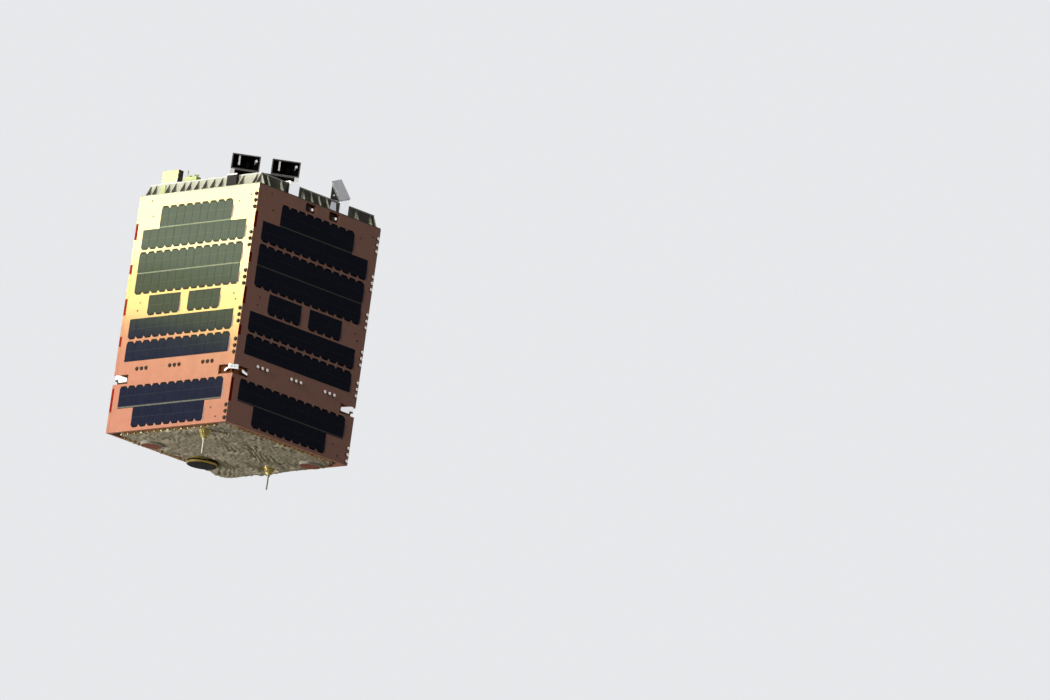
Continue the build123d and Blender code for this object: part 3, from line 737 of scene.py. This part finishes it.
border += [rows[i][steps] for i in range(steps, 0, -1)] + [rows[0][j] for j in range(steps, 0, -1)]
lid = [blanket.verts.new((v.co.x, v.co.y, blanket_high.z)) for v in border]
for i in range(len(border)):
    j = (i + 1) % len(border)
    blanket.faces.new((border[i], border[j], lid[j], lid[i]))
blanket.faces.new(lid)
blanket = add_piece("crinkled_blanket", blanket, [foil], "foil", "foil_blanket")

# Gold film folded in zigzags along the blanket's edges, with white tabs here and there at the front
gold_film = finish_of("gold_film", (0.66, 0.44, 0.20), (0.95, 0.77, 0.48), 90, 0.4, 0.6, metal=0.2)
film_inner, film_outer = 0.2800, 0.2968
film_low, film_high = -0.9665, -0.9540
film_pitch, film_waver, tape_thick = 0.0115, 0.0035, 0.0004
white_every, white_wide, white_rise = 3, (0.0018, 0.0050), (0.0015, 0.0045)
white_proud, white_drop, white_reach = 0.0008, 0.0012, 0.0040
random.seed(11)
tape = bmesh.new()
for name in sides:
    folds = []
    count = round(2 * (blanket_half - corner_radius) / film_pitch)
    for i in range(count + 1):
        x = (i - count / 2) * film_pitch
        reach = film_outer if i % 2 else film_inner
        drop = random.uniform(0, film_waver)
        folds.append([
            tape.verts.new(turns[name] @ Vector((x, -reach, z)))
            for z in (film_low + drop, film_high + drop)
        ])
        if name == "front" and i % white_every == 0:
            wide, rise = random.uniform(*white_wide), random.uniform(*white_rise)
            low_corner = (x - wide, -film_outer - white_proud, film_low - white_drop)
            high_corner = (x + wide, -film_outer + white_reach, film_low + rise)
            block(tape, low_corner, high_corner, turns[name], 1)
    for (low, high), (next_low, next_high) in zip(folds, folds[1:]):
        tape.faces.new((low, next_low, next_high, high))
tape = add_piece("edge_tape", tape, [gold_film, cream_cover], "gold_foil")
thickness = tape.modifiers.new("thickness", "SOLIDIFY")
thickness.thickness = tape_thick


# Whip antennas: rods on cones wrapped in gold film by hand, so that the wrap shows flat facets.
# The drum antenna's foot is wrapped in the same film.
gold_foil = finish_of("gold_foil", (0.66, 0.47, 0.10), (1.0, 0.86, 0.32), 160, 0.3, 1.0, metal=0.7)
rod_white = finish_of("rod_white", (0.72, 0.70, 0.52), (0.86, 0.84, 0.68), 60, 0.5, 0.1,
                      Specular_IOR_Level=0.3)
dress("antenna_bases", gold_foil)
dress("whip_rods", rod_white)
wrap_top, wrap_sides = -0.964, 14
# Drop and radius of the wrap's rings, and how far its facets stray from them
wrap_rings = [(-0.0005, 0.0225), (0.006, 0.0205), (0.013, 0.0160), (0.020, 0.0125), (0.0275, 0.0090)]
stray_out, stray_down = (-0.0006, 0.0022), (-0.0012, 0.0012)
wraps = bmesh.new()
for (x, y), _ in feet[:2]:
    rings = []
    for drop, wide in wrap_rings:
        ring = []
        for i in range(wrap_sides):
            angle = 2 * math.pi * i / wrap_sides
            out = wide + random.uniform(*stray_out)
            height = wrap_top - drop + random.uniform(*stray_down)
            ring.append(wraps.verts.new((x + out * math.cos(angle), y + out * math.sin(angle), height)))
        rings.append(ring)
    for low, high in zip(rings, rings[1:]):
        for i in range(wrap_sides):
            j = (i + 1) % wrap_sides
            wraps.faces.new((low[i], low[j], high[j]))
            wraps.faces.new((low[i], high[j], high[i]))
    wraps.faces.new(rings[0])
    wraps.faces.new(rings[-1])
add_piece("cone_wraps", wraps, [gold_foil], "gold_foil")


# Drum antenna: a gold-plated ring on a neck, with a black ring round its upper edge, a painted
# shadow of the gap there, and a dark radome face.
gold_plate = finish_of("gold_plate", (0.62, 0.45, 0.12), (0.84, 0.65, 0.24), 60, 0.32, 0.3, metal=0.6)
dark_face = finish_of("dark_face", (0.024, 0.024, 0.021), (0.042, 0.042, 0.037), 40, 0.6, 0.2,
                      Specular_IOR_Level=0.15)
dress("drum_body", gold_plate)
dress("drum_face", dark_face)
drum_low, drum_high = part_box("drum_body")
drum_middle = (drum_low + drum_high) / 2
drum_radius = (drum_high.x - drum_low.x) / 2
# A near-black ring, painted shadow of the gap at the drum's upper edge
gap_shadow_height, gap_shadow_thick, gap_shadow_sunk, gap_shadow_lap = 0.0045, 0.0004, 0.001, 0.012
gap_shadow_outline = [(drum_radius - gap_shadow_sunk, -gap_shadow_height), (drum_radius + gap_shadow_thick, -gap_shadow_height)]
gap_shadow_outline += [(drum_radius + gap_shadow_thick, gap_shadow_thick), (drum_radius - gap_shadow_lap, gap_shadow_thick)]
gap_shadow = bmesh.new()
turned(gap_shadow, gap_shadow_outline, Matrix.Translation((drum_middle.x, drum_middle.y, drum_high.z)), around=48)
add_piece("drum_gap_shadow", gap_shadow, [black_paint], "black_metal")


# Patch antennas: two white moulded pucks that stand through the blanket, each with a red-brown
# ceramic face bonded to its underside.
puck_white = finish_of("puck_white", (0.62, 0.58, 0.50), (0.78, 0.74, 0.66), 60, 0.5, 0.2,
                       Specular_IOR_Level=0.2)
brown_face = finish_of("brown_face", (0.26, 0.095, 0.055), (0.36, 0.14, 0.085), 50, 0.55, 0.2,
                       Specular_IOR_Level=0.1)
dress("patch_pucks", puck_white)
dress("patch_faces", brown_face)


# Studio: a pale floor far below, clear when seen from underneath, a pale backdrop from the world
# and soft lamps. Two tall softboxes stand beside the front panel. They shine only on it, on what is
# fixed to it, and on the lap over the left panel's end.
floor_height, floor_size, floor_glow = -12.5, 120, 0.66
floor = bpy.data.objects.new("floor", bpy.data.meshes.new("floor"))
sheet = bmesh.new()
bmesh.ops.create_grid(sheet, x_segments=1, y_segments=1, size=floor_size)
sheet.to_mesh(floor.data)
sheet.free()
floor.location.z = floor_height
scene.collection.objects.link(floor)
floor_pale = finish_of("floor_pale", (0.72, 0.72, 0.72), (0.76, 0.76, 0.76), 2, 0.8, 0.05)
nodes, link = floor_pale.node_tree.nodes, floor_pale.node_tree.links.new
clear = nodes.new("ShaderNodeBsdfTransparent")
underside = nodes.new("ShaderNodeNewGeometry")
either = nodes.new("ShaderNodeMixShader")
link(underside.outputs["Backfacing"], either.inputs[0])
link(nodes["Principled BSDF"].outputs[0], either.inputs[1])
link(clear.outputs[0], either.inputs[2])
seen_floor = nodes.new("ShaderNodeLightPath")
glow = nodes.new("ShaderNodeMath")
glow.operation = "MULTIPLY"
glow.inputs[1].default_value = floor_glow
nodes["Principled BSDF"].inputs["Emission Color"].default_value = (0.98, 0.99, 1.0, 1)
link(seen_floor.outputs["Is Camera Ray"], glow.inputs[0])
link(glow.outputs[0], nodes["Principled BSDF"].inputs["Emission Strength"])
link(either.outputs[0], nodes["Material Output"].inputs["Surface"])
floor.data.materials.append(floor_pale)
floor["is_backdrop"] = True

world = bpy.data.worlds.new("studio")
scene.world = world
world.use_nodes = True
nodes, link = world.node_tree.nodes, world.node_tree.links.new
ambient = nodes["Background"]
ambient.inputs["Color"].default_value = (1.0, 0.97, 0.93, 1)
ambient.inputs["Strength"].default_value = 0.085
backdrop = nodes.new("ShaderNodeBackground")
backdrop.inputs["Color"].default_value = (0.80, 0.81, 0.83, 1)
backdrop.inputs["Strength"].default_value = 1.0
path = nodes.new("ShaderNodeLightPath")
seen_or_mirrored = nodes.new("ShaderNodeMath")
seen_or_mirrored.operation = "MAXIMUM"
or_seen_through = nodes.new("ShaderNodeMath")
or_seen_through.operation = "MAXIMUM"
mix = nodes.new("ShaderNodeMixShader")
link(path.outputs["Is Camera Ray"], seen_or_mirrored.inputs[0])
link(path.outputs["Is Glossy Ray"], seen_or_mirrored.inputs[1])
link(seen_or_mirrored.outputs[0], or_seen_through.inputs[0])
link(path.outputs["Is Transmission Ray"], or_seen_through.inputs[1])
link(or_seen_through.outputs[0], mix.inputs[0])
link(ambient.outputs[0], mix.inputs[1])
link(backdrop.outputs[0], mix.inputs[2])
link(mix.outputs[0], nodes["World Output"].inputs["Surface"])


def lamp(name, place, target, power, width, height, colour):
    """A soft rectangular lamp that the camera doesn't see."""
    light = bpy.data.lights.new(name, "AREA")
    light.shape = "RECTANGLE"
    light.size, light.size_y = width, height
    light.energy = power
    light.color = colour
    thing = bpy.data.objects.new(name, light)
    thing.location = place
    thing.rotation_euler = (Vector(target) - Vector(place)).to_track_quat("-Z", "Y").to_euler()
    thing.visible_camera = False
    scene.collection.objects.link(thing)
    return thing


lamp("key", (-2.2, -4.8, 1.4), (0, 0, -0.45), 205, 0.7, 0.7, (1.0, 0.96, 0.90))
lamp("second_key", (0.75, -5.2, 1.0), (0, 0, -0.45), 133, 0.7, 0.7, (1.0, 0.96, 0.90))
lamp("fill", (-2.6, -3.0, -3.6), (0, 0, -0.9), 130, 1.0, 1.0, (1.0, 0.98, 0.95))
front_side = bpy.data.collections.new("front_side")
for name in ("cell_strings_front", "string_tabs_front", "panel_screws_front", "panel_end_left"):
    front_side.objects.link(scene.objects[name])
front_side.objects.link(cad["panel_front"])
softbox_top, softbox_width = 1.3, 2.6
for name, softbox_foot, power, colour in (("tall_softbox", -0.27, 285, (0.85, 1.0, 0.22)),
                                          ("high_softbox", -0.06, 175, (0.80, 1.0, 0.80))):
    middle = (softbox_foot + softbox_top) / 2
    place, target = (-0.86, -1.10, middle), (0, -half, middle - 0.29)
    softbox = lamp(name, place, target, power, softbox_width, softbox_top - softbox_foot, colour)
    softbox.visible_diffuse = False
    softbox.light_linking.receiver_collection = front_side

low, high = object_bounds()
